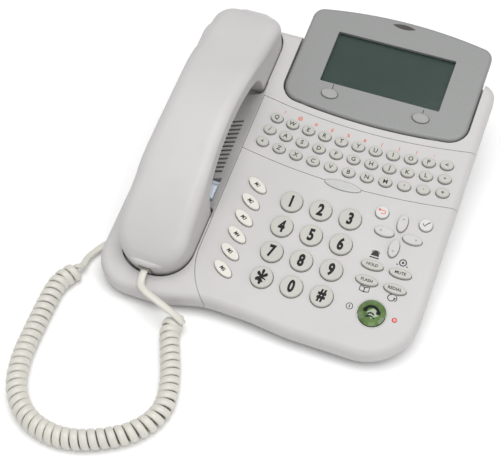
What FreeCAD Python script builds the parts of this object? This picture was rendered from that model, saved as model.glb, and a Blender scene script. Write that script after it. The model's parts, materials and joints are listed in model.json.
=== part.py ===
import FreeCAD, Part
import math
import os

# Corded desk telephone: a sloping desk unit with a full letter keyboard, a flip-up screen and a
# handset that lies in a cradle on the left. Millimetres, +Z up, X to the right, Y to the back.
# The origin is on the desk, under the middle of the telephone.
# Most pieces are drawn in the deck's own frame: u to the right, v up the slope, w out of the deck,
# with u = v = w = 0 on the deck surface at the centre of the 5 key.

V = FreeCAD.Vector
os.makedirs("parts", exist_ok=True)

# ---------------------------------------------------------------- driving dimensions
TILT = 14.2
DECK_X = 21.75
DECK_Y = -50.4
DECK_Z = 33.0

LEFT = -124.0
RIGHT = 80.5
BACK = 141.0
FRONT = -65.0
LOBE_FRONT = -70.0
SKIRT = 11.0
ROLL = 5.0
WALL = 2.2
RIM = 2.5
SEAM = 0.35

DIGIT_PITCH_U = 19.5
DIGIT_PITCH_V = 18.2
DIGIT_RADIUS = 7.1
KEY_PROUD = 2.0
KEY_CLEARANCE = 0.35
KEY_FLANGE = 0.9

PANEL_U = 8.0
ARC_CENTRE_V = 458.8
LETTER_RADIUS = 389.8
LETTER_ROW_STEP = 9.9
LETTER_ANGLE = math.degrees(0.02965)
UPPER_SEAM_RADIUS = 377.8
LOWER_SEAM_RADIUS = 418.9
SEAM_U = -64.0

DISPLAY_U = 8.4
DISPLAY_HALF = 62.6
DISPLAY_FRONT_RADIUS = 371.8
DISPLAY_BACK = 171.6
DISPLAY_BACK_RADIUS = 300.0
DISPLAY_GAP = 1.1
DISPLAY_PROUD = 1.0
DISPLAY_DEPTH = 8.5
BEZEL_EDGE = 5.2
HINGE_V = 89.6
HINGE_W = -1.6
SCREEN_V = 130.0
SCREEN_SIZE = (82.0, 40.8)

HANDSET_U = -89.3
CUP_HALF = 23.6
GRIP_HALF = 21.3
CUP_BOTTOM = -8.6
POCKET_GAP = 0.5
POCKET_FLOOR = -9.1
TROUGH_RIGHT = -64.4
TROUGH_LEFT = -103.0
SLOPE_FOOT = -79.0
MOUTH_V = (-54.2, -4.5)
EAR_V = (92.0, 142.0)
MOUTH_ROUND = 21.0
EAR_ROUND = 18.0

CORD_WIDTH = 4.7
COIL_DIAMETER = 12.6
PLUG_SIZE = (7.6, 6.4, 12.0)

DECK = FreeCAD.Placement(V(DECK_X, DECK_Y, DECK_Z), FreeCAD.Rotation(V(1, 0, 0), TILT))


# ---------------------------------------------------------------- drawing helpers
def on_deck(shape):
    """Carries a shape from the deck's frame into the model."""
    placed = shape.copy()
    placed.Placement = DECK.multiply(placed.Placement)
    return placed


def save(shape, name):
    """Writes one sub-part as a STEP file."""
    if not shape.isValid():
        print("not valid:", name)
    print("%-24s solids %2d  volume %9.1f" % (name, len(shape.Solids), shape.Volume))
    shape.exportStep("parts/%s.step" % name)


def rounded(corners):
    """A flat closed face through corners (u, v, radius), each rounded by a tangent arc."""
    count = len(corners)
    ends = []
    for i in range(count):
        here = V(corners[i][0], corners[i][1], 0)
        back = V(corners[i - 1][0], corners[i - 1][1], 0).sub(here).normalize()
        ahead = V(corners[(i + 1) % count][0], corners[(i + 1) % count][1], 0).sub(here).normalize()
        radius = corners[i][2]
        half = back.getAngle(ahead) / 2
        reach = radius / math.tan(half)
        start = here + back * reach
        stop = here + ahead * reach
        bisector = (back + ahead).normalize()
        middle = here + bisector * (radius / math.sin(half) - radius)
        ends.append((start, middle, stop, radius))
    edges = []
    for i in range(count):
        start, middle, stop, radius = ends[i]
        if radius > 0:
            edges.append(Part.Arc(start, middle, stop).toShape())
        edges.append(Part.makeLine(stop, ends[(i + 1) % count][0]))
    return Part.Face(Part.Wire(edges))


def box_face(u0, u1, v0, v1, radius):
    """A flat rounded rectangle."""
    return rounded([(u0, v0, radius), (u1, v0, radius), (u1, v1, radius), (u0, v1, radius)])


def prism(face, low, high):
    """The solid over a flat face, from w = low to w = high."""
    moved = face.copy()
    moved.translate(V(0, 0, low))
    return moved.extrude(V(0, 0, high - low))


def block(u0, u1, v0, v1, w0, w1):
    """A plain box between two corners."""
    return Part.makeBox(u1 - u0, v1 - v0, w1 - w0, V(u0, v0, w0))


def disc(u, v, radius, low, high):
    """A round bar along w."""
    return Part.makeCylinder(radius, high - low, V(u, v, low))


def oval_face(u, v, half_u, half_v, turn=0.0):
    """A flat ellipse, turned about its centre by turn degrees."""
    long_side = max(half_u, half_v)
    short_side = min(half_u, half_v)
    ellipse = Part.Ellipse(V(0, 0, 0), long_side, short_side)
    face = Part.Face(Part.Wire([ellipse.toShape()]))
    if half_v > half_u:
        turn = turn + 90
    face.rotate(V(0, 0, 0), V(0, 0, 1), turn)
    face.translate(V(u, v, 0))
    return face


def edges_at(shape, level):
    """The edges that lie in the plane w = level."""
    found = []
    for edge in shape.Edges:
        box = edge.BoundBox
        if abs(box.ZMin - level) < 0.01 and abs(box.ZMax - level) < 0.01:
            found.append(edge)
    return found


def arc_strip(front_radius, back_radius, u0, u1):
    """The band between two arcs about the keyboard's arc centre, from u0 to u1."""
    def point(radius, u):
        return V(u, ARC_CENTRE_V - math.sqrt(radius ** 2 - (u - PANEL_U) ** 2), 0)
    middle = (u0 + u1) / 2
    front = Part.Arc(point(front_radius, u0), point(front_radius, middle), point(front_radius, u1)).toShape()
    back = Part.Arc(point(back_radius, u1), point(back_radius, middle), point(back_radius, u0)).toShape()
    right = Part.makeLine(point(front_radius, u1), point(back_radius, u1))
    left = Part.makeLine(point(back_radius, u0), point(front_radius, u0))
    return Part.Face(Part.Wire([front, right, back, left]))


# ---------------------------------------------------------------- base shell and its three top pieces
def base_face():
    """The outline of the desk unit: straight back and sides, and a lobe in front of the handset."""
    return rounded([
        (RIGHT, FRONT, 34), (RIGHT, BACK, 10), (LEFT, BACK, 16), (LEFT, LOBE_FRONT, 24),
        (-79, LOBE_FRONT, 60), (-50, -62, 60), (-20, -62.5, 100), (5, FRONT, 100)])


def mouth_pocket():
    """The cradle pocket for the mouth end of the handset."""
    u0 = HANDSET_U - CUP_HALF - POCKET_GAP
    u1 = HANDSET_U + CUP_HALF + POCKET_GAP
    face = rounded([(u0, MOUTH_V[0] - 2.7, MOUTH_ROUND + 0.5), (u1, MOUTH_V[0] - 2.7, MOUTH_ROUND + 0.5),
                    (u1, MOUTH_V[1] + 4, 3), (u0, MOUTH_V[1] + 4, 3)])
    return face


def ear_pocket():
    """The cradle pocket for the ear end of the handset."""
    u0 = HANDSET_U - CUP_HALF - POCKET_GAP
    u1 = HANDSET_U + CUP_HALF + POCKET_GAP
    return rounded([(u0, EAR_V[0] - 3, 3), (u1, EAR_V[0] - 3, 3),
                    (u1, EAR_V[1] + 1.3, EAR_ROUND + 0.5), (u0, EAR_V[1] + 1.3, EAR_ROUND + 0.5)])


def trough():
    """The hollow between the pockets, with a sloping wall on the keypad side."""
    v0, v1 = MOUTH_V[1] - 4, EAR_V[0] + 6
    corners = [V(TROUGH_RIGHT + 1, v0, 0.6), V(TROUGH_RIGHT, v0, 0), V(SLOPE_FOOT, v0, POCKET_FLOOR),
               V(TROUGH_LEFT, v0, POCKET_FLOOR), V(TROUGH_LEFT, v0, 0.6)]
    face = Part.Face(Part.makePolygon(corners + [corners[0]]))
    return face.extrude(V(0, v1 - v0, 0))


def display_face(grow):
    """The outline of the flip-up screen: a bowed front, an arched back and four round corners."""
    front_radius = DISPLAY_FRONT_RADIUS + grow
    half = DISPLAY_HALF + grow
    back = DISPLAY_BACK + grow

    def front_v(u):
        return ARC_CENTRE_V - math.sqrt(front_radius ** 2 - (u - PANEL_U) ** 2)

    def back_v(u):
        return back - DISPLAY_BACK_RADIUS + math.sqrt(DISPLAY_BACK_RADIUS ** 2 - (u - DISPLAY_U) ** 2)
    u0, u1 = DISPLAY_U - half, DISPLAY_U + half
    front = Part.Arc(V(u0, front_v(u0), 0), V(DISPLAY_U, front_v(DISPLAY_U), 0), V(u1, front_v(u1), 0)).toShape()
    right = Part.makeLine(V(u1, front_v(u1), 0), V(u1, back_v(u1), 0))
    rear = Part.Arc(V(u1, back_v(u1), 0), V(DISPLAY_U, back, 0), V(u0, back_v(u0), 0)).toShape()
    left = Part.makeLine(V(u0, back_v(u0), 0), V(u0, front_v(u0), 0))
    sheet = prism(Part.Face(Part.Wire([front, right, rear, left])), 0, 1)
    front_corners = []
    back_corners = []
    for edge in sheet.Edges:
        box = edge.BoundBox
        if box.ZLength > 0.9:
            if box.YMin < DISPLAY_FRONT_RADIUS / 3:
                front_corners.append(edge)
            else:
                back_corners.append(edge)
    sheet = sheet.makeFillet(13 + grow, front_corners)
    sheet = sheet.makeFillet(8 + grow, back_corners)
    flat = [face for face in sheet.Faces if abs(face.BoundBox.ZMax) < 0.01][0]
    outline = Part.Face(flat.OuterWire)
    return outline


def base_shell():
    """The whole top shell of the desk unit before it is parted into its three pieces."""
    slab = prism(base_face(), -SKIRT, 0)
    slab = slab.makeFillet(ROLL, edges_at(slab, 0))
    inside = base_face().makeOffset2D(-WALL)
    hollow = prism(inside, -SKIRT - 1, -WALL)
    keep = prism(mouth_pocket().makeOffset2D(WALL), -SKIRT - 2, 0)
    keep = keep.fuse(prism(ear_pocket().makeOffset2D(WALL), -SKIRT - 2, 0))
    keep = keep.fuse(block(TROUGH_LEFT - WALL, SEAM_U, MOUTH_V[1], EAR_V[0] + 4, -SKIRT - 2, 0))
    keep = keep.fuse(prism(display_face(DISPLAY_GAP + WALL), -SKIRT - 2, 0))
    shell = slab.cut(hollow.cut(keep))
    shell = shell.cut(prism(mouth_pocket(), POCKET_FLOOR, 2))
    shell = shell.cut(prism(ear_pocket(), POCKET_FLOOR, 2))
    shell = shell.cut(trough())
    shell = shell.cut(prism(display_face(DISPLAY_GAP), -DISPLAY_DEPTH - 0.7, 2))
    return shell


def keypad_region(inset):
    """The area of the keypad piece, past the right and front edges, pulled in by inset at its seams."""
    seam = LOWER_SEAM_RADIUS + inset
    right = RIGHT + 20

    def seam_v(u):
        return ARC_CENTRE_V - math.sqrt(seam ** 2 - (u - PANEL_U) ** 2)
    left = SEAM_U + inset
    bend_top = -30.0
    bend_end = V(-43 + inset, FRONT - 2, 0)
    edges = [
        Part.Arc(V(right, seam_v(right), 0), V(PANEL_U, seam_v(PANEL_U), 0), V(left, seam_v(left), 0)).toShape(),
        Part.makeLine(V(left, seam_v(left), 0), V(left, bend_top, 0)),
        Part.Arc(V(left, bend_top, 0), V(-57.6 + inset, -51.8, 0), bend_end).toShape(),
        Part.makeLine(bend_end, V(bend_end.x, FRONT - 20, 0)),
        Part.makeLine(V(bend_end.x, FRONT - 20, 0), V(right, FRONT - 20, 0)),
        Part.makeLine(V(right, FRONT - 20, 0), V(right, seam_v(right), 0))]
    return Part.Face(Part.Wire(edges))


def letter_region(inset):
    """The area of the letter keyboard piece, between its two curved seams."""
    return arc_strip(LOWER_SEAM_RADIUS - inset, UPPER_SEAM_RADIUS + inset, SEAM_U + inset, RIGHT + 20)


# ---------------------------------------------------------------- keys
DIGITS = ["1", "2", "3", "4", "5", "6", "7", "8", "9", "star", "0", "hash"]
NAV_CENTRE = (51.3, 16.7)
PETAL_OFFSET = 9.0
MEMORY_U = -44.3
MEMORY_TOP_V = 22.5
MEMORY_PITCH = 12.25
MEMORY_TURN = -29.0
SPEAKER_KEY = (51.6, -37.0, 8.4)
LED_PLACE = (65.7, -36.7)
BADGE_PLACE = (7.4, 39.4)


def key_list():
    """Every key of the deck as name, u, v, half length, half width and turn."""
    keys = []
    for i, digit in enumerate(DIGITS):
        u = (i % 3 - 1) * DIGIT_PITCH_U
        v = (1 - i // 3) * DIGIT_PITCH_V
        keys.append(("digit_key_" + digit, u, v, DIGIT_RADIUS, DIGIT_RADIUS, 0))
    for i in range(6):
        v = MEMORY_TOP_V - i * MEMORY_PITCH
        keys.append(("memory_key_%d" % (i + 1), MEMORY_U, v, 7.4, 3.4, MEMORY_TURN))
    keys.append(("back_key", 37.0, 28.9, 4.2, 4.2, 0))
    keys.append(("confirm_key", 65.3, 28.9, 4.2, 4.2, 0))
    places = [(42.2, -7.1), (60.1, -7.1), (42.2, -17.9), (60.1, -17.9)]
    for i, (u, v) in enumerate(places):
        keys.append(("function_key_%d" % (i + 1), u, v, 7.0, 3.1, 0))
    for side, (du, dv) in {"up": (0, 1), "down": (0, -1), "left": (-1, 0), "right": (1, 0)}.items():
        u = NAV_CENTRE[0] + du * PETAL_OFFSET
        v = NAV_CENTRE[1] + dv * PETAL_OFFSET
        keys.append(("nav_keys", u, v, 6.2, 3.2, 90 if dv else 0))
    rows = ["letter_keys_top", "letter_keys_middle", "letter_keys_bottom"]
    for row, name in enumerate(rows):
        radius = LETTER_RADIUS + row * LETTER_ROW_STEP
        for step in range(-5, 6):
            angle = math.radians(step * LETTER_ANGLE)
            u = PANEL_U + radius * math.sin(angle)
            v = ARC_CENTRE_V - radius * math.cos(angle)
            keys.append((name, u, v, 4.2, 3.25, step * LETTER_ANGLE))
    return keys


def key_cap(u, v, half_u, half_v, turn, top, plate):
    """A moulded key: an oval cap with a soft top edge and a flange that holds it behind the plate."""
    cap = prism(oval_face(u, v, half_u, half_v, turn), plate - 2.6, top)
    cap = cap.makeFillet(0.7, edges_at(cap, top))
    end_flange = KEY_FLANGE / 2 if half_u > half_v else KEY_FLANGE
    flange = prism(oval_face(u, v, half_u + end_flange, half_v + KEY_FLANGE, turn), plate - 1.3, plate - 0.3)
    return cap.fuse(flange).removeSplitter()


def key_hole(u, v, half_u, half_v, turn, grow=KEY_CLEARANCE):
    """The hole that a key rises through."""
    return prism(oval_face(u, v, half_u + grow, half_v + grow, turn), -SKIRT, 3)


def speaker_key():
    """The round clear key: a low dome on a short collar, with a flange behind the plate."""
    u, v, radius = SPEAKER_KEY
    rise = 2.6
    sphere_radius = (radius ** 2 + rise ** 2) / (2 * rise)
    ball = Part.makeSphere(sphere_radius, V(u, v, 1.0 + rise - sphere_radius))
    dome = ball.common(disc(u, v, radius, 0.9, 1.1 + rise))
    collar = disc(u, v, radius, -WALL - 2.6, 1.0)
    flange = disc(u, v, radius + KEY_FLANGE, -WALL - 1.3, -WALL - 0.3)
    return collar.fuse(dome).fuse(flange).removeSplitter()


# ---------------------------------------------------------------- build the top pieces and keys
def make_base_and_keys():
    """Writes the three top pieces and every key of the deck."""
    shell = base_shell()
    keys = key_list()
    holes = [key_hole(*key[1:]) for key in keys]
    holes.append(disc(SPEAKER_KEY[0], SPEAKER_KEY[1], SPEAKER_KEY[2] + KEY_CLEARANCE, -SKIRT, 3))
    holes.append(disc(LED_PLACE[0], LED_PLACE[1], 1.6, -SKIRT, 3))
    badge_hole = prism(oval_face(BADGE_PLACE[0], BADGE_PLACE[1], 12.4, 3.6), -1.2, 3)
    pierced = shell.cut(holes).cut(badge_hole)

    low, high = -SKIRT - 1, 3
    keypad = pierced.common(prism(keypad_region(SEAM / 2), low, high)).fuse(screw_bosses(SCREWS[:3]))
    letters = pierced.common(prism(letter_region(SEAM / 2), low, high)).fuse(screw_bosses(SCREWS[3:4]))
    housing = shell.cut(prism(keypad_region(-SEAM / 2), low, high))
    housing = housing.cut(prism(letter_region(-SEAM / 2), low, high))
    housing = housing.cut(grille_slots()).cut(lever_slot()).cut(hinge_holes())
    housing = housing.fuse(hinge_bosses()).fuse(screw_bosses(SCREWS[4:]))
    save(on_deck(housing), "top_housing")
    save(on_deck(keypad), "keypad_faceplate")
    save(on_deck(letters), "letter_faceplate")

    badge = prism(oval_face(BADGE_PLACE[0], BADGE_PLACE[1], 12.3, 3.5), -1.15, 0.7)
    badge = badge.makeFillet(0.6, edges_at(badge, 0.7))
    save(on_deck(badge), "seam_badge")
    led = disc(LED_PLACE[0], LED_PLACE[1], 1.5, -8.4, 0.3)
    led = led.makeFillet(0.5, edges_at(led, 0.3))
    save(on_deck(led), "status_lamp")

    groups = {}
    for name, u, v, half_u, half_v, turn in keys:
        cap = key_cap(u, v, half_u, half_v, turn, KEY_PROUD, -WALL)
        groups.setdefault(name, []).append(on_deck(cap))
    groups["speaker_key"] = [on_deck(speaker_key())]
    for name, caps in groups.items():
        save(caps[0] if len(caps) == 1 else Part.makeCompound(caps), name)


def grille_slots():
    """Slots through the sloping wall of the trough, over the loudspeaker."""
    slots = []
    for i in range(13):
        v = 67.0 - i * 3.3
        slots.append(block(-81.0, -71.2, v - 0.75, v + 0.75, -SKIRT - 1, 1))
    return Part.makeCompound(slots)


LEVER_U = (-75.2, -69.8)


def lever_slot():
    """The notch in the sloping wall that the hook lever lies in."""
    return block(LEVER_U[0] - 0.6, LEVER_U[1] + 0.6, MOUTH_V[1] + 3, 22.0, POCKET_FLOOR, 2)


def hinge_centres():
    """Where each hinge pin starts and ends along u."""
    return [(DISPLAY_U - 48.0, DISPLAY_U - 31.0), (DISPLAY_U + 31.0, DISPLAY_U + 48.0)]


def hinge_bar(radius, u0, u1):
    """A bar along the screen's hinge line."""
    return Part.makeCylinder(radius, u1 - u0, V(u0, HINGE_V, HINGE_W), V(1, 0, 0))


def hinge_holes():
    """The pin holes in the housing beside the screen."""
    return Part.makeCompound([hinge_bar(1.0, u0 - 0.2, u1 + 0.2) for u0, u1 in hinge_centres()])


def hinge_bosses():
    """Thick bosses behind the deck that hold the outer ends of the hinge pins."""
    bosses = []
    for sign in (-1, 1):
        u_in = DISPLAY_U + sign * 43.0
        u_out = DISPLAY_U + sign * 50.0
        boss = block(min(u_in, u_out), max(u_in, u_out), HINGE_V - 3.2, HINGE_V + 3.2, -5.5, -WALL + 0.1)
        boss = boss.cut(prism(display_face(DISPLAY_GAP), -8, 2))
        bosses.append(boss.cut(hinge_holes()))
    return Part.makeCompound(bosses)


# ---------------------------------------------------------------- flip-up screen
def make_display():
    """Writes the screen's frame, rear cover, lens, glass, lamp lens, hinge pins and two keys."""
    top = DISPLAY_PROUD
    frame = prism(display_face(0), top - BEZEL_EDGE, top)
    frame = frame.makeFillet(2.4, edges_at(frame, top))
    inner = display_face(-3.0).common(
        box_face(DISPLAY_U - 60, DISPLAY_U + 60, HINGE_V + 4.5, DISPLAY_BACK, 3))
    frame = frame.cut(prism(inner.Faces[0], top - BEZEL_EDGE - 1, top - 2.2))
    half_w, half_h = SCREEN_SIZE[0] / 2, SCREEN_SIZE[1] / 2
    window = box_face(DISPLAY_U - half_w, DISPLAY_U + half_w, SCREEN_V - half_h, SCREEN_V + half_h, 0.8)
    frame = frame.cut(prism(window, -10, 5))
    frame = frame.cut([hinge_bar(1.05, u0 - 0.1, u1 + 0.2) for u0, u1 in hinge_centres()])
    soft_keys = [(DISPLAY_U - 31.2, 101.2), (DISPLAY_U + 31.2, 101.2)]
    for u, v in soft_keys:
        frame = frame.cut(key_hole(u, v, 5.6, 3.6, 0))
    lamp = lamp_face(0.0)
    frame = frame.cut(prism(lamp_face(0.1), -0.4, 5))
    save(on_deck(frame.removeSplitter()), "display_bezel")

    lens = prism(lamp, -0.35, top + 0.25)
    save(on_deck(lens), "ring_lamp_lens")
    names = ["soft_key_left", "soft_key_right"]
    for name, (u, v) in zip(names, soft_keys):
        save(on_deck(key_cap(u, v, 5.6, 3.6, 0, top + 1.1, top - 2.2)), name)

    cover = prism(inner.Faces[0].makeOffset2D(1.5), -DISPLAY_DEPTH, top - BEZEL_EDGE - 0.05)
    cover = cover.makeFillet(2.0, edges_at(cover, -DISPLAY_DEPTH))
    cover = cover.cut(prism(inner.Faces[0].makeOffset2D(-1.0), -DISPLAY_DEPTH + 1.6, 3))
    save(on_deck(cover), "display_rear_cover")

    window_lens = box_face(DISPLAY_U - half_w - 2.5, DISPLAY_U + half_w + 2.5,
                           SCREEN_V - half_h - 2.5, SCREEN_V + half_h + 2.5, 2)
    save(on_deck(prism(window_lens, -2.3, -1.25)), "lcd_window")
    glass = box_face(DISPLAY_U - half_w - 3.5, DISPLAY_U + half_w + 3.5,
                     SCREEN_V - half_h - 3.5, SCREEN_V + half_h + 5, 1)
    save(on_deck(prism(glass, -6.2, -2.35)), "lcd_module")
    save(Part.makeCompound([on_deck(hinge_bar(1.0, u0, u1)) for u0, u1 in hinge_centres()]), "hinge_pins")


def lamp_face(grow):
    """A narrow lens shape, two arcs that meet in points, near the screen's back edge."""
    half = 7.8 + grow
    bulge = 1.7 + grow
    v = 166.4
    back = Part.Arc(V(DISPLAY_U + half, v, 0), V(DISPLAY_U, v + bulge, 0), V(DISPLAY_U - half, v, 0)).toShape()
    front = Part.Arc(V(DISPLAY_U - half, v, 0), V(DISPLAY_U, v - bulge, 0), V(DISPLAY_U + half, v, 0)).toShape()
    return Part.Face(Part.Wire([back, front]))


# ---------------------------------------------------------------- lower case and what it holds
STAND = (-86.0, 86.0, -96.1, 74.9)
STAND_FLOOR = 3.2
STAND_WALL = 2.4
SCREWS = [(74.5, -15.0), (30.0, -56.5), (-30.0, -55.0), (75.0, 62.0), (-113.0, 20.0), (-113.0, 70.0)]
JACK_Y = -74.9
JACK_Z = 9.4
JACK_CAVITY = (8.0, 6.9)
LINE_X = 52.0
LINE_Z = 16.0
LINE_CAVITY = (10.2, 7.4)
FEET = [(-72.0, -83.0), (72.0, -83.0), (-72.0, 62.0), (72.0, 62.0)]


def stand_prism(inset, low):
    """The upright box under the deck, cut off by the deck's slope."""
    x0, x1, y0, y1 = STAND
    face = box_face(x0 + inset, x1 - inset, y0 + inset, y1 - inset, 14 - inset)
    upright = prism(face, low, 120)
    below = on_deck(block(-300, 300, -300, 300, -200, -SKIRT - 0.1))
    return upright.common(below)


def make_bottom():
    """Writes the lower case, its feet and its screws."""
    rim = prism(base_face().makeOffset2D(-0.3), -SKIRT - RIM, -SKIRT - 0.1)
    rim = rim.makeFillet(1.0, edges_at(rim, -SKIRT - RIM))
    case = on_deck(rim).fuse(stand_prism(0, STAND_FLOOR))
    case = case.cut(stand_prism(STAND_WALL, STAND_FLOOR + 2.2))
    for u, v in SCREWS:
        case = case.cut(on_deck(disc(u, v, 1.5, -SKIRT - RIM - 1, 0)))
    jack_hole = Part.makeBox(6, JACK_CAVITY[0], JACK_CAVITY[1],
                             V(STAND[0] - 2, JACK_Y - JACK_CAVITY[0] / 2, JACK_Z - JACK_CAVITY[1] / 2))
    case = case.cut(jack_hole)
    line_hole = Part.makeBox(LINE_CAVITY[0], 6, LINE_CAVITY[1],
                             V(LINE_X - LINE_CAVITY[0] / 2, STAND[3] - 4, LINE_Z - LINE_CAVITY[1] / 2))
    case = case.cut(line_hole)
    save(case.removeSplitter(), "bottom_cover")

    feet = []
    for x, y in FEET:
        foot = Part.makeCylinder(7, STAND_FLOOR, V(x, y, 0))
        feet.append(foot.makeFillet(1.0, edges_at(foot, 0)))
    save(Part.makeCompound(feet), "feet")

    screws = []
    for u, v in SCREWS:
        head = disc(u, v, 2.7, -SKIRT - RIM - 1.9, -SKIRT - RIM)
        head = head.makeFillet(0.8, edges_at(head, -SKIRT - RIM - 1.9))
        head = head.cut(block(u - 1.8, u + 1.8, v - 0.35, v + 0.35, -SKIRT - RIM - 2, -SKIRT - RIM - 1))
        head = head.cut(block(u - 0.35, u + 0.35, v - 1.8, v + 1.8, -SKIRT - RIM - 2, -SKIRT - RIM - 1))
        shank = disc(u, v, 1.3, -SKIRT - RIM, -4.5)
        screws.append(on_deck(head.fuse(shank)))
    save(Part.makeCompound(screws), "case_screws")


def screw_bosses(places):
    """Pillars behind the deck that the case screws bite into."""
    pillars = []
    for u, v in places:
        pillars.append(disc(u, v, 3.2, -SKIRT, -WALL + 0.1).cut(disc(u, v, 1.3, -SKIRT - 1, -4.5)))
    return Part.makeCompound(pillars)


def make_electronics():
    """Writes the circuit board, the key mat, the loudspeaker and the two sockets in the lower case."""
    board = box_face(-58, 70, -50, 76, 2)
    save(on_deck(prism(board, -10.0, -8.4)), "main_board")
    mat = prism(box_face(-56, 69, -49, 75, 3), -8.4, -6.6)
    mat = mat.cut(disc(LED_PLACE[0], LED_PLACE[1], 2.5, -9, -6))
    save(on_deck(mat), "key_mat")

    centre = (-84.0, 46.0)
    basket = disc(centre[0], centre[1], 18, -SKIRT - 3.4, -SKIRT - 0.2)
    basket = basket.cut(disc(centre[0], centre[1], 16, -SKIRT - 2.4, -SKIRT))
    magnet = disc(centre[0], centre[1], 10, -SKIRT - 8.5, -SKIRT - 3.4)
    save(on_deck(basket.fuse(magnet)), "loudspeaker")

    inner = STAND[0] + STAND_WALL + 0.1
    half_y, half_z = JACK_CAVITY[0] / 2, JACK_CAVITY[1] / 2
    jack = Part.makeBox(13.5, 11.6, 8.4, V(inner, JACK_Y - 5.8, STAND_FLOOR + 2.25))
    cavity = Part.makeBox(12.5, 2 * half_y, 2 * half_z, V(inner - 1, JACK_Y - half_y, JACK_Z - half_z))
    cord_jack = jack.cut(cavity)

    line_wide, line_high = LINE_CAVITY
    back = STAND[3] - STAND_WALL - 0.1
    line = Part.makeBox(line_wide + 3.6, 15, line_high + 3.4,
                        V(LINE_X - line_wide / 2 - 1.8, back - 15, LINE_Z - line_high / 2 - 1.7))
    line_cavity = Part.makeBox(line_wide, 13, line_high, V(LINE_X - line_wide / 2, back - 12, LINE_Z - line_high / 2))
    save(Part.makeCompound([cord_jack, line.cut(line_cavity)]), "base_jacks")


# ---------------------------------------------------------------- handset
def handset_profile(grow):
    """The side view of the handset in (v, w): arched back, two cups and a raised grip."""
    mouth, heel = MOUTH_V
    ear_in, ear = EAR_V
    points = {
        "toe": (mouth, CUP_BOTTOM), "toe_top": (mouth - 2.0, 5.5), "brow": (mouth + 3.5, 16.0),
        "crown_mid": (mouth + 80, 40.0), "nape": (ear - 12, 22.5), "tail_top": (ear + 0.6, 10.0),
        "tail": (ear - 0.4, CUP_BOTTOM), "ear_heel": (ear_in, CUP_BOTTOM), "ear_root": (ear_in - 1.5, 12.0),
        "grip_back": (ear_in - 9, 19.5), "grip_mid": ((heel + ear_in) / 2, 23.5),
        "grip_front": (heel + 10, 18.5), "mouth_root": (heel + 1.5, 10.0), "heel": (heel, -4.5),
        "heel_low": (heel - 5, CUP_BOTTOM)}
    at = {name: V(0, v, w) for name, (v, w) in points.items()}

    def bend(a, through, b):
        return Part.Arc(at[a], V(0, *through), at[b]).toShape()
    edges = [
        Part.makeLine(at["toe"], at["toe_top"]),
        bend("toe_top", (mouth - 0.2, 12.4), "brow"),
        Part.Arc(at["brow"], at["crown_mid"], at["nape"]).toShape(),
        bend("nape", (ear - 3.2, 17.0), "tail_top"),
        Part.makeLine(at["tail_top"], at["tail"]),
        Part.makeLine(at["tail"], at["ear_heel"]),
        Part.makeLine(at["ear_heel"], at["ear_root"]),
        bend("ear_root", (ear_in - 4.0, 17.4), "grip_back"),
        Part.Arc(at["grip_back"], at["grip_mid"], at["grip_front"]).toShape(),
        bend("grip_front", (heel + 4.6, 15.8), "mouth_root"),
        Part.makeLine(at["mouth_root"], at["heel"]),
        Part.makeLine(at["heel"], at["heel_low"]),
        Part.makeLine(at["heel_low"], at["toe"])]
    face = Part.Face(Part.Wire(edges))
    if grow:
        face = face.makeOffset2D(grow)
    return face


def handset_plan(grow):
    """The plan of the handset: two round-cornered cups joined by a slightly waisted grip."""
    half = CUP_HALF + grow
    waist = GRIP_HALF + grow
    v0, v1 = MOUTH_V[0] - 2.2 - grow, EAR_V[1] + 0.8 + grow
    middle = (MOUTH_V[1] + EAR_V[0]) / 2
    r0, r1 = MOUTH_ROUND + grow, EAR_ROUND + grow
    u = HANDSET_U

    def corner(side, v, radius, up):
        return V(u + side * (half - radius * (1 - math.sqrt(0.5))), v + up * radius * (1 - math.sqrt(0.5)), 0)
    edges = [
        Part.makeLine(V(u - half + r0, v0, 0), V(u + half - r0, v0, 0)),
        Part.Arc(V(u + half - r0, v0, 0), corner(1, v0, r0, 1), V(u + half, v0 + r0, 0)).toShape(),
        Part.Arc(V(u + half, v0 + r0, 0), V(u + waist, middle, 0), V(u + half, v1 - r1, 0)).toShape(),
        Part.Arc(V(u + half, v1 - r1, 0), corner(1, v1, r1, -1), V(u + half - r1, v1, 0)).toShape(),
        Part.makeLine(V(u + half - r1, v1, 0), V(u - half + r1, v1, 0)),
        Part.Arc(V(u - half + r1, v1, 0), corner(-1, v1, r1, -1), V(u - half, v1 - r1, 0)).toShape(),
        Part.Arc(V(u - half, v1 - r1, 0), V(u - waist, middle, 0), V(u - half, v0 + r0, 0)).toShape(),
        Part.Arc(V(u - half, v0 + r0, 0), corner(-1, v0, r0, 1), V(u - half + r0, v0, 0)).toShape()]
    return Part.Face(Part.Wire(edges))


def handset_body(grow):
    """The handset's outer form, or with grow below zero the space inside its walls."""
    side = handset_profile(grow)
    side.translate(V(HANDSET_U - 40, 0, 0))
    return side.extrude(V(80, 0, 0)).common(prism(handset_plan(grow), -20, 60))


def upper_rim(body):
    """The edges where the handset's arched back meets its sides and ends."""
    outline = handset_plan(0).OuterWire
    found = []
    for edge in body.Edges:
        middle = edge.valueAt((edge.FirstParameter + edge.LastParameter) / 2)
        on_side = outline.distToShape(Part.Vertex(V(middle.x, middle.y, 0)))[0] < 0.01
        upright = edge.BoundBox.XLength + edge.BoundBox.YLength < 0.02
        under_grip = MOUTH_V[1] - 5 < middle.y < EAR_V[0] + 1 and middle.z < 25
        if on_side and not upright and not under_grip and edge.BoundBox.ZMax > CUP_BOTTOM + 15:
            if middle.z > 0 and not (middle.y < MOUTH_V[0] and edge.BoundBox.ZMin < 0):
                found.append(edge)
    return found


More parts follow.
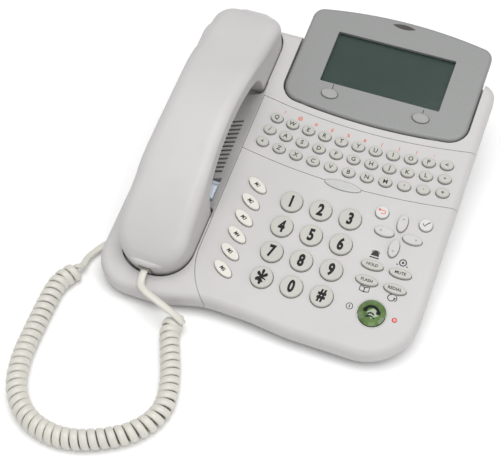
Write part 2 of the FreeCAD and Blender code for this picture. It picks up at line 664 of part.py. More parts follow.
def above_parting():
    """The space above the handset's parting line, which rises over the grip."""
    ends = [V(0, -80, 1), V(0, 40, 31), V(0, 160, -2)]
    edges = [Part.Arc(*ends).toShape(), Part.makeLine(ends[2], V(0, 160, 90)),
             Part.makeLine(V(0, 160, 90), V(0, -80, 90)), Part.makeLine(V(0, -80, 90), ends[0])]
    face = Part.Face(Part.Wire(edges))
    face.translate(V(HANDSET_U - 50, 0, 0))
    return face.extrude(V(100, 0, 0))


HANDSET_ROLL = 1.8
PLUG_W = 4.6
PLUG_BACK_V = -56.6
MICROPHONE_V = -34.0
EARPIECE_V = 116.5


def make_handset():
    """Writes the handset's two shells, its two capsules and its jack."""
    body = handset_body(0)
    shell = body.makeFillet(HANDSET_ROLL, upper_rim(body)).cut(handset_body(-WALL))
    notch = block(HANDSET_U - 4.1, HANDSET_U + 4.1, MOUTH_V[0] - 6, MOUTH_V[0] + 3.2, PLUG_W - 3.6, PLUG_W + 3.6)
    shell = shell.cut(notch)
    for angle in range(0, 360, 60):
        u = HANDSET_U + 6 * math.cos(math.radians(angle))
        v = EARPIECE_V + 6 * math.sin(math.radians(angle))
        shell = shell.cut(disc(u, v, 1.1, CUP_BOTTOM - 1, CUP_BOTTOM + WALL + 0.5))
    for offset in (-4, 0, 4):
        shell = shell.cut(disc(HANDSET_U + offset, MICROPHONE_V, 0.9, CUP_BOTTOM - 1, CUP_BOTTOM + WALL + 0.5))
    upper = above_parting()
    save(on_deck(shell.common(upper)), "handset_outer_shell")
    save(on_deck(shell.cut(upper)), "handset_inner_shell")

    floor = CUP_BOTTOM + WALL
    save(on_deck(disc(HANDSET_U, EARPIECE_V, 15, floor, floor + 7)), "earpiece_capsule")
    save(on_deck(disc(HANDSET_U, MICROPHONE_V, 4.9, floor, floor + 5)), "microphone_capsule")
    jack = block(HANDSET_U - 5.6, HANDSET_U + 5.6, MOUTH_V[0] + 1.6, -43.0, PLUG_W - 4.4, PLUG_W + 4.6)
    jack = jack.cut(block(HANDSET_U - 4.0, HANDSET_U + 4.0, -57, -44.5, PLUG_W - 3.45, PLUG_W + 3.45))
    save(on_deck(jack), "handset_jack")


def make_hook_lever():
    """Writes the hook lever: a long tongue that reaches under the handset, with a raised clear cap."""
    u0, u1 = LEVER_U
    tongue = block(u0, u1, MOUTH_V[1] - 1.6, 19.5, -8.4, -6.6)
    cap = block(u0, u1, 6.0, 16.0, -7.0, -2.6)
    cap = cap.makeFillet(1.6, edges_at(cap, -2.6))
    knuckle = Part.makeCylinder(1.5, u1 - u0, V(u0, 19.0, -7.4), V(1, 0, 0))
    save(on_deck(tongue.fuse(cap).fuse(knuckle).removeSplitter()), "hook_lever")


# ---------------------------------------------------------------- handset cord
CORD_SHIFT = V(DECK_X, DECK_Y - 0.5, 0)
HANDSET_TAIL = [(-89.3, -55.499, 23.575), (-89.3, -63.6, 21.525), (-84.3, -68.4, 21.6), (-75.0, -71.2, 20.2),
                (-66.0, -73.2, 17.2), (-58.6, -75.8, 12.2), (-57.8, -79.4, 6.6)]
COIL_ROUTE = [(-65.0, -74.5, 6.3), (-57.5, -92.0, 6.3), (-47.5, -112.0, 6.3), (-42.6, -132.0, 6.3),
              (-51.0, -150.0, 6.3), (-68.0, -162.5, 6.3), (-90.0, -171.0, 6.3), (-113.0, -167.5, 6.3),
              (-130.0, -153.0, 6.3), (-138.0, -132.0, 6.3), (-140.5, -109.0, 6.3), (-142.5, -88.0, 6.3),
              (-145.0, -71.0, 6.3), (-138.5, -61.5, 6.3), (-128.5, -61.0, 6.3)]
BASE_TAIL = [(-108.4, -23.9, 9.4), (-117.5, -24.6, 8.4), (-126.0, -29.4, 5.2), (-132.2, -38.0, 3.4),
             (-135.6, -47.6, 4.6), (-134.6, -57.5, 7.6)]


def arc_route(points):
    """Straight runs joined by tangent arcs, each as large as its two runs allow."""
    pts = [V(*p) + CORD_SHIFT for p in points]
    edges = []
    here = pts[0]
    radii = []
    for i in range(1, len(pts) - 1):
        back = (pts[i - 1] - pts[i])
        ahead = (pts[i + 1] - pts[i])
        reach = 0.45 * min(back.Length, ahead.Length)
        back.normalize()
        ahead.normalize()
        turn = math.pi - back.getAngle(ahead)
        radius = reach / math.tan(turn / 2)
        start = pts[i] + back * reach
        stop = pts[i] + ahead * reach
        middle = pts[i] + (back + ahead).normalize() * (radius / math.cos(turn / 2) - radius)
        edges.append(Part.LineSegment(here, start).toShape())
        edges.append(Part.Arc(start, middle, stop).toShape())
        here = stop
        radii.append(round(radius, 1))
    edges.append(Part.LineSegment(here, pts[-1]).toShape())
    return Part.Wire(edges), radii


def tube(points, diameter, name):
    """A round tube along the route; its volume is compared with section times length."""
    path, radii = arc_route(points)
    first = path.Edges[0]
    direction = first.tangentAt(first.FirstParameter)
    ring = Part.Wire([Part.Circle(V(*points[0]) + CORD_SHIFT, direction, diameter / 2).toShape()])
    body = path.makePipeShell([ring], True, True)
    ratio = body.Volume / (math.pi * diameter ** 2 / 4 * path.Length)
    print("%s length %.1f volume ratio %.3f radii %s" % (name, path.Length, ratio, radii))
    save(body, name)


def make_cord():
    """Writes the two plugs, the two straight tails and the coil of the handset cord."""
    wide, high, long = PLUG_SIZE
    plug = block(HANDSET_U - wide / 2, HANDSET_U + wide / 2, PLUG_BACK_V, PLUG_BACK_V + long,
                 PLUG_W - high / 2, PLUG_W + high / 2)
    save(on_deck(plug), "handset_plug")
    base_plug = Part.makeBox(long, wide, high, V(STAND[0] - 0.6, JACK_Y - wide / 2, JACK_Z - high / 2))
    save(base_plug, "base_plug")
    tube(HANDSET_TAIL, CORD_WIDTH, "cord_handset_tail")
    tube(COIL_ROUTE, COIL_DIAMETER, "cord_coil")
    tube(BASE_TAIL, CORD_WIDTH, "cord_base_tail")


make_base_and_keys()
make_display()
make_bottom()
make_electronics()
make_handset()
make_hook_lever()
make_cord()
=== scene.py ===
import math
import bpy
import numpy as np
from mathutils import Matrix, Vector
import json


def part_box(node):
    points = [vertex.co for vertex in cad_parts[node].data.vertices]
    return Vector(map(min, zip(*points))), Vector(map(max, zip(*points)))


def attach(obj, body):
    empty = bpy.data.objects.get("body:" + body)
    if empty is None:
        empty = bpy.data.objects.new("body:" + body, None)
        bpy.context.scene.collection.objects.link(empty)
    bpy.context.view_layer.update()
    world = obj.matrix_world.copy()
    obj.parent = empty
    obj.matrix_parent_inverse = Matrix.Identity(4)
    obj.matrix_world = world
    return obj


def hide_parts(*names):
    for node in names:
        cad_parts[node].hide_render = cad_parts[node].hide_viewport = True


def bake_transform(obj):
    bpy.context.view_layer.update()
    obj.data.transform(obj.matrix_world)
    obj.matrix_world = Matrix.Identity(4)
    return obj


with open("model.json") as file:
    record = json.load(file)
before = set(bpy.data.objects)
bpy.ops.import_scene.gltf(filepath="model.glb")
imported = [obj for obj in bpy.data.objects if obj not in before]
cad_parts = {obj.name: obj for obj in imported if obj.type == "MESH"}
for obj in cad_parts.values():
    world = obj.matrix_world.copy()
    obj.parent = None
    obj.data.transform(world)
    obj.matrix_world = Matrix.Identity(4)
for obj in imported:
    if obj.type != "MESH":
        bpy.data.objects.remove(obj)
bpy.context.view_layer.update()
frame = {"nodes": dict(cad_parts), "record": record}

# ---------------------------------------------------------------- lower case
# The telephone stands on a deep tray moulded in pale grey ABS, textured like fine sand so that it hides
# scratches. Six screws from below hold it to the upper case.


class Value:
    """One number socket of a finish. Arithmetic on it, from either side, adds Math nodes."""

    def __init__(self, finish, socket):
        self.finish = finish
        self.socket = socket

    def math(self, operation, first, second):
        node = self.finish.add("ShaderNodeMath", {"operation": operation}, {0: first, 1: second})
        return Value(self.finish, node.outputs[0])

    def __add__(self, other):
        return self.math("ADD", self, other)

    def __radd__(self, other):
        return self.math("ADD", other, self)

    def __mul__(self, other):
        return self.math("MULTIPLY", self, other)

    def __rmul__(self, other):
        return self.math("MULTIPLY", other, self)

    def ramp(self, low, high):
        """0 at low, 1 at high, held at both ends and eased between them."""
        node = self.finish.add("ShaderNodeMapRange", {"interpolation_type": "SMOOTHSTEP"},
                               {"Value": self, "From Min": low, "From Max": high})
        return Value(self.finish, node.outputs[0])


class Finish:
    """A material built round one Principled shader."""

    def __init__(self, name, colour, roughness, **constants):
        self.material = bpy.data.materials.new(name)
        self.material.use_nodes = True
        self.tree = self.material.node_tree
        self.tree.nodes.clear()
        sockets = {"Base Color": colour, "Roughness": roughness}
        sockets.update({words.replace("_", " ").title().replace("Ior", "IOR"): value
                        for words, value in constants.items()})
        self.shader = self.add("ShaderNodeBsdfPrincipled", {}, sockets)
        self.add("ShaderNodeOutputMaterial", {}, {"Surface": self.shader.outputs[0]})
        self.place = self.add("ShaderNodeTexCoord").outputs["Object"]

    def add(self, kind, settings=None, sockets=None):
        """Adds a node of any type: its settings first, then the values or links of its sockets."""
        node = self.tree.nodes.new(kind)
        for name, value in (settings or {}).items():
            setattr(node, name, value)
        for name, value in (sockets or {}).items():
            socket = node.inputs[name]
            if isinstance(value, Value):
                value = value.socket
            if isinstance(value, bpy.types.NodeSocket):
                self.tree.links.new(value, socket)
            elif isinstance(value, tuple) and len(value) == 3 and socket.type == "RGBA":
                socket.default_value = (*value, 1.0)
            else:
                socket.default_value = value
        return node

    def noise(self, size, detail=2.0):
        """Soft random values from 0 to 1 whose lumps are about size metres wide."""
        node = self.add("ShaderNodeTexNoise", {}, {"Vector": self.place, "Scale": 1 / size, "Detail": detail})
        return Value(self, node.outputs[0])

    def mix(self, amount, first, second):
        """A colour that goes from first to second as amount goes from 0 to 1."""
        node = self.add("ShaderNodeMix", {"data_type": "RGBA"}, {0: amount, 6: first, 7: second})
        return node.outputs[2]

    def set(self, **sockets):
        """Links values or colours to the shader's sockets, named in small letters."""
        for words, value in sockets.items():
            name = words.replace("_", " ").title()
            socket = self.shader.inputs[name]
            self.tree.links.new(value.socket if isinstance(value, Value) else value, socket)

    def bump(self, height, depth):
        """Raises the surface by height times depth metres."""
        node = self.add("ShaderNodeBump", {}, {"Height": height, "Strength": 1.0, "Distance": depth})
        self.tree.links.new(node.outputs[0], self.shader.inputs["Normal"])


def tint(colour, factor):
    """The colour made lighter or darker by one factor."""
    return tuple(min(1.0, part * factor) for part in colour)


def moulded(name, colour, roughness, grain=0.0005, depth=0.00002, **constants):
    """Injection-moulded plastic: a fine spark texture, faint flow clouds and handled patches of gloss."""
    finish = Finish(name, colour, roughness, **constants)
    clouds = finish.noise(0.035, 3.0)
    speck = finish.noise(grain, 2.0)
    finish.set(base_color=finish.mix(clouds.ramp(0.3, 0.7), tint(colour, 0.972), tint(colour, 1.022)))
    finish.set(roughness=roughness - 0.05 + 0.07 * speck + 0.06 * clouds)
    finish.bump(speck, depth)
    return finish


def paint(finish, *nodes):
    """Gives CAD nodes their finish."""
    for node in nodes:
        for slot in frame["nodes"][node].material_slots:
            slot.material = finish.material


case_plastic = moulded("case_plastic", (0.505, 0.492, 0.488), 0.5)
paint(case_plastic, "bottom_cover")

# ---------------------------------------------------------------- feet and screws
# Four black rubber pads are pressed into rings under the tray, and zinc-plated self-tapping screws sit in
# round wells beside them.
rubber = moulded("foot_rubber", (0.022, 0.022, 0.023), 0.78, grain=0.0009, depth=0.00006)
paint(rubber, "feet")
zinc = Finish("zinc_plate", (0.58, 0.59, 0.6), 0.34, metallic=1.0)
zinc.set(roughness=0.26 + 0.18 * zinc.noise(0.0012, 4.0))
zinc.bump(zinc.noise(0.0003), 0.000012)
paint(zinc, "case_screws")
blued = Finish("blued_steel", (0.09, 0.09, 0.095), 0.4, metallic=1.0)
blued.set(roughness=0.36 + 0.14 * blued.noise(0.0012, 4.0))
paint(blued, "hinge_pins")

# ---------------------------------------------------------------- board, mat, loudspeaker and sockets
# Inside the case lie the green circuit board, the silicone mat that springs the keys, the loudspeaker and the
# two black modular sockets, of which only the openings show from outside.
board = Finish("solder_mask", (0.012, 0.12, 0.045), 0.3, coat_weight=0.4)
tracks = board.noise(0.003, 1.0).ramp(0.48, 0.56)
board.set(base_color=board.mix(tracks, (0.010, 0.085, 0.032), (0.020, 0.17, 0.065)))
board.bump(tracks, 0.00003)
paint(board, "main_board")
silicone = moulded("silicone_mat", (0.55, 0.54, 0.52), 0.62, grain=0.0012)
paint(silicone, "key_mat")
socket_plastic = moulded("socket_plastic", (0.028, 0.028, 0.03), 0.5)
paint(socket_plastic, "loudspeaker", "base_jacks", "handset_jack", "earpiece_capsule")
capsule_metal = Finish("capsule_metal", (0.62, 0.62, 0.63), 0.3, metallic=1.0)
capsule_metal.set(roughness=0.25 + 0.15 * capsule_metal.noise(0.001))
paint(capsule_metal, "microphone_capsule")

# ---------------------------------------------------------------- upper case and faceplates
# The deck is the same pale grey ABS. The number pad's plate and the letter keyboard's plate are let into it
# along curved seams, and all three keep the sand texture of the tray.
paint(case_plastic, "top_housing", "keypad_faceplate", "letter_faceplate")

joints = {joint["name"]: joint for joint in frame["record"]["behaviour"]["joints"]}
normal = np.array(joints["handset_lift"]["axis"])
along = np.array([0.0, normal[2], -normal[1]])
across = np.array([1.0, 0.0, 0.0])
HINGE = (8.4, 89.6, -1.6)
deck_origin = np.array(joints["display_tilt"]["pos_m"]) - 0.001 * (
    HINGE[0] * across + HINGE[1] * along + HINGE[2] * normal)


def deck(points):
    """Places in metres of deck points in millimetres: origin + u across + v up the slope + w out of it."""
    places = np.atleast_2d(np.asarray(points, float)) * 0.001
    return deck_origin + places[:, :1] * across + places[:, 1:2] * along + places[:, 2:3] * normal


def make_piece(name, points, faces, finish, body, smooth=True):
    """A mesh object of these points (metres) and faces, in its finish, riding on a CAD body."""
    mesh = bpy.data.meshes.new(name)
    mesh.from_pydata(points.tolist(), [], faces)
    if smooth:
        mesh.shade_smooth()
    else:
        mesh.shade_flat()
    mesh.materials.append(finish.material)
    piece = bpy.data.objects.new(name, mesh)
    bpy.context.collection.objects.link(piece)
    if body:
        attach(piece, body)
    return piece


def grid_faces(rows, columns, closed):
    """Quads between neighbouring rows of a grid; closed joins the last column to the first."""
    steps = columns if closed else columns - 1
    row, column = np.meshgrid(np.arange(rows - 1), np.arange(steps), indexing="ij")
    after = (column + 1) % columns
    here = row * columns
    above = here + columns
    quads = [here + column, here + after, above + after, above + column]
    return np.stack(quads, axis=-1).reshape(-1, 4).tolist()


# ---------------------------------------------------------------- dial keys
# Twelve round keys moulded in warm grey ABS stand 2 mm proud of the deck. Their figures are pad-printed in
# black, in a bold slanted face.
key_plastic = moulded("key_plastic", (0.44, 0.435, 0.40), 0.42, grain=0.0004)
ink = Finish("black_ink", (0.006, 0.006, 0.007), 0.5, specular_ior_level=0.2)
ink.set(roughness=0.42 + 0.2 * ink.noise(0.0006))
PRINT = 0.05


def word_shape(words, height, bold=0.0, slant=0.0, narrow=1.0):
    """A word as thin raised print round its own centre, in millimetres: (points, faces)."""
    curve = bpy.data.curves.new("word", "FONT")
    curve.body = words
    curve.size = height / 0.7
    curve.align_x = "CENTER"
    curve.offset = bold
    curve.shear = slant
    curve.extrude = PRINT / 2
    curve.resolution_u = 3
    holder = bpy.data.objects.new("word", curve)
    bpy.context.collection.objects.link(holder)
    bpy.context.view_layer.update()
    mesh = bpy.data.meshes.new_from_object(holder.evaluated_get(bpy.context.evaluated_depsgraph_get()))
    points = np.empty(len(mesh.vertices) * 3)
    mesh.vertices.foreach_get("co", points)
    points = points.reshape(-1, 3)
    points[:, :2] -= (points[:, :2].min(axis=0) + points[:, :2].max(axis=0)) / 2
    points[:, 0] *= narrow
    faces = [tuple(face.vertices) for face in mesh.polygons]
    bpy.data.objects.remove(holder)
    bpy.data.curves.remove(curve)
    bpy.data.meshes.remove(mesh)
    return points, faces


def line_shape(path, width, closed=False):
    """A printed line: a flat strip of this width along the path, as thick as the print, in millimetres."""
    path = np.asarray(path, float)
    if closed:
        ahead = np.roll(path, -1, axis=0) - np.roll(path, 1, axis=0)
    else:
        ahead = np.gradient(path, axis=0)
    ahead /= np.linalg.norm(ahead, axis=1, keepdims=True)
    side = np.stack([-ahead[:, 1], ahead[:, 0]], axis=1) * width / 2
    low = np.full((len(path), 1), -PRINT / 2)
    left = path + side
    right = path - side
    rings = np.stack([np.hstack([left, low]), np.hstack([left, -low]), np.hstack([right, -low]),
                      np.hstack([right, low])], axis=1)
    count = len(path)
    faces = grid_faces(count, 4, True)
    if closed:
        last = (count - 1) * 4
        faces += [(last + k, last + (k + 1) % 4, (k + 1) % 4, k) for k in range(4)]
    else:
        faces += [(3, 2, 1, 0), tuple(range((count - 1) * 4, count * 4))]
    return rings.reshape(-1, 3), faces


def arc(radius, start, stop, count=24, centre=(0.0, 0.0)):
    """Points of a circular arc between two angles in degrees."""
    angle = np.radians(np.linspace(start, stop, count))
    return np.stack([centre[0] + radius * np.cos(angle), centre[1] + radius * np.sin(angle)], axis=1)


def patch_shape(outline):
    """A printed patch inside an outline: a thin prism, in millimetres."""
    outline = np.asarray(outline, float)
    count = len(outline)
    low = np.full((count, 1), -PRINT / 2)
    points = np.vstack([np.hstack([outline, low]), np.hstack([outline, -low])])
    faces = [tuple(range(count - 1, -1, -1)), tuple(range(count, 2 * count))]
    faces += [(k, (k + 1) % count, count + (k + 1) % count, count + k) for k in range(count)]
    return points, faces


def printed(name, marks, finish, body):
    """One piece from several printed marks. A mark is (shape, u, v, w, turn in degrees)."""
    all_points = []
    all_faces = []
    total = 0
    for (points, faces), u, v, w, turn in marks:
        angle = math.radians(turn)
        c, s = math.cos(angle), math.sin(angle)
        spin = np.array([[c, s, 0], [-s, c, 0], [0, 0, 1]])
        all_points.append(points @ spin + (u, v, w))
        all_faces += [tuple(corner + total for corner in face) for face in faces]
        total += len(points)
    return make_piece(name, deck(np.vstack(all_points)), all_faces, finish, body, smooth=False)


KEY_TOP = 2.0 + PRINT / 2
DIAL_PITCH = (19.5, 18.2)
dial_rows = [("1", "2", "3"), ("4", "5", "6"), ("7", "8", "9"), ("star", "0", "hash")]
for row, names in enumerate(dial_rows):
    for column, key in enumerate(names):
        paint(key_plastic, "digit_key_" + key)
        figure = {"star": "*", "hash": "#"}.get(key, key)
        height = 15.0 if figure == "*" else 7.6
        shape = word_shape(figure, height, bold=0.5, slant=0.02, narrow=0.72)
        place = ((column - 1) * DIAL_PITCH[0], (1 - row) * DIAL_PITCH[1], KEY_TOP, 0.0)
        printed("figure_" + key, [(shape, *place)], ink, "digit_key_" + key)

# ---------------------------------------------------------------- memory keys
# Six slanted oval keys in cream ABS down the left of the pad, each printed with its number.
cream_plastic = moulded("cream_plastic", (0.64, 0.625, 0.57), 0.42, grain=0.0004)
MEMORY_U = -44.3
MEMORY_TOP_V = 22.5
MEMORY_PITCH = 12.25
MEMORY_TURN = -29.0
for index in range(6):
    key = "memory_key_%d" % (index + 1)
    paint(cream_plastic, key)
    shape = word_shape("M%d" % (index + 1), 2.5, bold=0.07, slant=0.2, narrow=0.85)
    place = (MEMORY_U, MEMORY_TOP_V - MEMORY_PITCH * index, KEY_TOP, MEMORY_TURN)
    printed("figure_m%d" % (index + 1), [(shape, *place)], ink, key)

# ---------------------------------------------------------------- letter keys
# Three curved rows of eleven small oval keys carry a full letter keyboard. Capitals are pad-printed in dark
# grey, and a row of marks in red stands on the plate above the top row.
paint(key_plastic, "letter_keys_top", "letter_keys_middle", "letter_keys_bottom")
dark_ink = Finish("dark_grey_ink", (0.03, 0.03, 0.033), 0.5, specular_ior_level=0.2)
dark_ink.set(roughness=0.42 + 0.2 * dark_ink.noise(0.0006))
red_ink = Finish("red_ink", (0.62, 0.11, 0.035), 0.5)
red_ink.set(roughness=0.42 + 0.2 * red_ink.noise(0.0006))
PANEL_U = 8.0
LETTER_CENTRE_V = 458.8
LETTER_RADIUS = 389.8
ROW_STEP = 9.9
KEY_STEP = math.degrees(0.02965)


def on_letter_row(row, step, radius_shift=0.0):
    """(u, v, turn) of a place on a letter row's arc, step keys from its middle."""
    angle = math.radians(step * KEY_STEP)
    radius = LETTER_RADIUS + row * ROW_STEP + radius_shift
    return PANEL_U + radius * math.sin(angle), LETTER_CENTRE_V - radius * math.cos(angle), step * KEY_STEP


letter_rows = [("top", "QWERTYUIOP<"), ("middle", "/ASDFGHJKL\""), ("bottom", "^ZXCVBNM,.+")]
for row, (name, letters) in enumerate(letter_rows):
    marks = []
    for index, letter in enumerate(letters):
        u, v, turn = on_letter_row(row, index - 5)
        marks.append((word_shape(letter, 2.9, bold=0.07), u, v, KEY_TOP, turn))
    printed("letters_" + name, marks, dark_ink, "letter_keys_" + name)
RED_RISE = 6.2
RED_SHIFT = 2.6
marks = []
for index, letter in enumerate("!@#$%&()?:"):
    u, v, turn = on_letter_row(0, index - 5, -RED_RISE)
    marks.append((word_shape(letter, 2.3, bold=0.06), u + RED_SHIFT, v, PRINT / 2, turn))
printed("letters_red", marks, red_ink, "base")

# ---------------------------------------------------------------- seam badge, arrow, enter and back keys
# The silver lens over the seam is a snapped-in trim. Four petals in the case's own plastic steer the cursor;
# the round keys beside them go back and confirm.
silver = Finish("silver_paint", (0.36, 0.36, 0.355), 0.36, metallic=0.25)
silver.set(roughness=0.32 + 0.12 * silver.noise(0.0007))
flakes = silver.noise(0.00025).ramp(0.35, 0.65)
silver.set(base_color=silver.mix(flakes, (0.335, 0.335, 0.33), (0.40, 0.40, 0.395)))
paint(silver, "seam_badge")
pale_plastic = moulded("pale_plastic", (0.56, 0.55, 0.545), 0.42, grain=0.0004)
paint(pale_plastic, "back_key", "confirm_key")
paint(case_plastic, "nav_keys")
NAV = (51.3, 16.7)
NAV_REACH = 11.4
grey_ink = Finish("light_grey_ink", (0.30, 0.30, 0.31), 0.5)
grey_ink.set(roughness=0.42 + 0.2 * grey_ink.noise(0.0006))
marks = []
for quarter in range(4):
    angle = math.radians(90 * quarter)
    u = NAV[0] + NAV_REACH * math.cos(angle)
    v = NAV[1] + NAV_REACH * math.sin(angle)
    marks.append((patch_shape([(1.0, 0), (-0.6, 1.0), (-0.6, -1.0)]), u, v, KEY_TOP, 90 * quarter))
printed("arrow_marks", marks, grey_ink, "nav_keys")
BACK = (37.0, 28.9)
CONFIRM = (65.3, 28.9)
hook = np.vstack([[(-2.2, 1.1), (0.8, 1.1)], arc(1.15, 90, -90, 12, (1.0, -0.05)), [(-0.6, -1.2)]])
barb = [(-3.0, 1.1), (-1.5, 2.3), (-1.5, -0.1)]
back_arrow = [(shape, *BACK, KEY_TOP, 0.0) for shape in (line_shape(hook, 0.55), patch_shape(barb))]
printed("back_mark", back_arrow, red_ink, "back_key")
tick = line_shape([(-2.0, 0.2), (-0.7, -1.4), (0.9, 0.9), (2.4, 2.2)], 0.6)
printed("tick_mark", [(tick, *CONFIRM, KEY_TOP, 0.0)], dark_ink, "confirm_key")

# ---------------------------------------------------------------- function keys
# Four oval keys hold, mute, redial and flash the line. Their names are printed on them and small signs stand
# on the deck above and below.
FUNCTION_PLACES = [(42.2, -7.1), (60.1, -7.1), (42.2, -17.9), (60.1, -17.9)]
for index, (words, (u, v)) in enumerate(zip(("HOLD", "MUTE", "FLASH", "REDIAL"), FUNCTION_PLACES)):
    key = "function_key_%d" % (index + 1)
    paint(key_plastic, key)
    printed("word_%d" % (index + 1), [(word_shape(words, 1.9, bold=0.06), u, v, KEY_TOP, 0.0)], dark_ink, key)
LIFT = PRINT / 2


def at(u, v, *shapes):
    """Marks on the deck, all round one centre."""
    return [(shape, u, v, LIFT, 0.0) for shape in shapes]


# A resting receiver, a ringed dot on a broken line, an open book, a turning arrow and a ring with a stroke.
dome_outline = np.vstack([arc(2.3, 20, 160, 16, (0, 0.6)), [(-2.6, -0.4), (2.6, -0.4)]])
signs = at(41.6, 0.0,
           patch_shape(dome_outline),
           line_shape([(-2.9, -1.6), (2.9, -1.6)], 0.8),
           line_shape(arc(3.2, 35, 145, 14), 0.5))
signs += at(59.4, 0.6,
            line_shape(arc(2.1, 0, 345, 24), 0.7, closed=True),
            line_shape([(-3.6, -1.9), (-2.6, -1.9)], 0.7),
            line_shape([(2.6, -1.9), (3.6, -1.9)], 0.7),
            patch_shape(arc(0.8, 0, 330, 12)))
signs += at(42.4, -23.3,
            line_shape([(0, -1.9), (-2.9, -1.2), (-2.9, 1.8), (0, 1.1)], 0.6),
            line_shape([(0, -1.9), (2.9, -1.2), (2.9, 1.8), (0, 1.1)], 0.6),
            line_shape([(0, 1.1), (0, -1.9)], 0.6))
signs += at(59.5, -23.5,
            line_shape(arc(2.1, 100, 350, 22), 0.6),
            patch_shape([(2.9, 0.5), (1.2, 0.4), (2.2, -1.1)]),
            line_shape(arc(2.1, -60, 60, 12, (1.4, 0)), 0.5))
signs += at(37.4, -36.6,
            line_shape(arc(2.0, 0, 345, 24), 0.45, closed=True),
            line_shape([(0, -1.0), (0, 1.0)], 0.6))
printed("deck_signs", signs, dark_ink, "base")

# ---------------------------------------------------------------- speaker key and lamp
# The loudspeaker key is a clear green dome over a printed handset sign, in a grey ring. A red lens beside it
# lights when the line is open.
SPEAKER = (51.6, -37.0)
green = Finish("green_dome", (0.07, 0.13, 0.03), 0.1, coat_weight=1.0, coat_roughness=0.03)
depth_tint = green.noise(0.006, 2.0).ramp(0.3, 0.7)
green.set(base_color=green.mix(depth_tint, (0.055, 0.115, 0.02), (0.11, 0.19, 0.05)))
paint(green, "speaker_key")
ring_paint = moulded("ring_paint", (0.42, 0.42, 0.41), 0.4)
ring = line_shape(arc(9.3, 0, 355, 72), 0.9, closed=True)
printed("speaker_ring", [(ring, *SPEAKER, LIFT, 0.0)], ring_paint, "base")
DOME_RIM = 8.4
DOME_RISE = 2.6
DOME_RADIUS = (DOME_RIM ** 2 + DOME_RISE ** 2) / (2 * DOME_RISE)
dome_top = (np.array(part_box("speaker_key")[1])[2] - deck_origin[2]) * 1000
dome_top = (dome_top - SPEAKER[1] * along[2]) / normal[2]


def on_dome(shape):
    """The same mark laid over the dome: each point drops by the sphere's depth below its top."""
    points, faces = shape
    fall = DOME_RADIUS - np.sqrt(DOME_RADIUS ** 2 - (points[:, :2] ** 2).sum(axis=1))
    return points - fall[:, None] * (0, 0, 1), faces


handset_sign = [
    line_shape(arc(4.6, 25, 155, 30, (0, -1.2)), 1.5),
    patch_shape(arc(1.3, 0, 345, 20, (-4.1, 0.4))),
    patch_shape(arc(1.3, 0, 345, 20, (4.1, 0.4))),
    line_shape(arc(2.4, 35, 145, 16, (0, -3.4)), 0.7),
    line_shape(arc(4.2, 50, 130, 16, (0, -7.2)), 0.7)]
printed("speaker_sign", [(on_dome(shape), *SPEAKER, dome_top + LIFT, 0.0) for shape in handset_sign],
        ink, "speaker_key")
red_lens = Finish("red_lens", (0.62, 0.02, 0.025), 0.2, coat_weight=1.0)
red_lens.set(base_color=red_lens.mix(red_lens.noise(0.0012), (0.50, 0.012, 0.02), (0.75, 0.04, 0.04)))
paint(red_lens, "status_lamp")

# ---------------------------------------------------------------- display unit
# The screen unit flips up on two pins. Its bezel is grey ABS with a fine silver paint, its window is clear
# acrylic, and the reflective cell behind it is dark green when nothing is shown.
bezel_finish = Finish("bezel_paint", (0.235, 0.24, 0.235), 0.45)
bezel_finish.set(roughness=0.40 + 0.12 * bezel_finish.noise(0.0007))
bezel_finish.set(base_color=bezel_finish.mix(bezel_finish.noise(0.0003).ramp(0.35, 0.65),
                                             (0.215, 0.22, 0.215), (0.255, 0.26, 0.255)))
paint(bezel_finish, "display_bezel", "display_rear_cover")
soft_finish = moulded("soft_key_paint", (0.30, 0.30, 0.295), 0.45, grain=0.0004)
paint(soft_finish, "soft_key_left", "soft_key_right")
window = Finish("window_acrylic", (0.05, 0.07, 0.06), 0.12, alpha=0.1)
window.set(roughness=0.10 + 0.05 * window.noise(0.01))
paint(window, "lcd_window")
cell = Finish("display_cell", (0.035, 0.058, 0.05), 0.5, specular_ior_level=0.2)
cell.set(base_color=cell.mix(cell.noise(0.02, 1.0), (0.030, 0.052, 0.044), (0.042, 0.068, 0.058)))
paint(cell, "lcd_module")
BEZEL_TOP = 1.0
tick_paths = [[(-22.4, 108.9), (-22.25, 105.3)], [(39.7, 108.0), (39.8, 105.1)]]
tick_lines = [(line_shape(path, 0.5), 0, 0, BEZEL_TOP + LIFT, 0.0) for path in tick_paths]
printed("screen_ticks", tick_lines, dark_ink, "display")
smoked = Finish("smoked_lens", (0.05, 0.042, 0.042), 0.25, coat_weight=0.3)
smoked.set(base_color=smoked.mix(smoked.noise(0.004), (0.035, 0.030, 0.030), (0.060, 0.050, 0.048)))
paint(smoked, "ring_lamp_lens")

# ---------------------------------------------------------------- hook lever
# The switch that ends the call is a tongue of milky, faintly blue plastic. It stands in a slot of the
# cradle and reaches under the handset.
milky = moulded("milky_plastic", (0.72, 0.79, 0.88), 0.3)
paint(milky, "hook_lever")

# ---------------------------------------------------------------- handset
# Two ABS shells, screwed together: an arched back with soft shoulders and an inner half with the ear and
# mouth cups. Its plastic is smoother than the case's, and it rests in the cradle by its own weight.
HANDSET_U = -89.3
CUP_HALF = 23.4
WAIST = 2.2
MOUTH_ROUND = 21.0
EAR_ROUND = 18.0
MIDDLE_V = 44
END_ROLL = 3.0
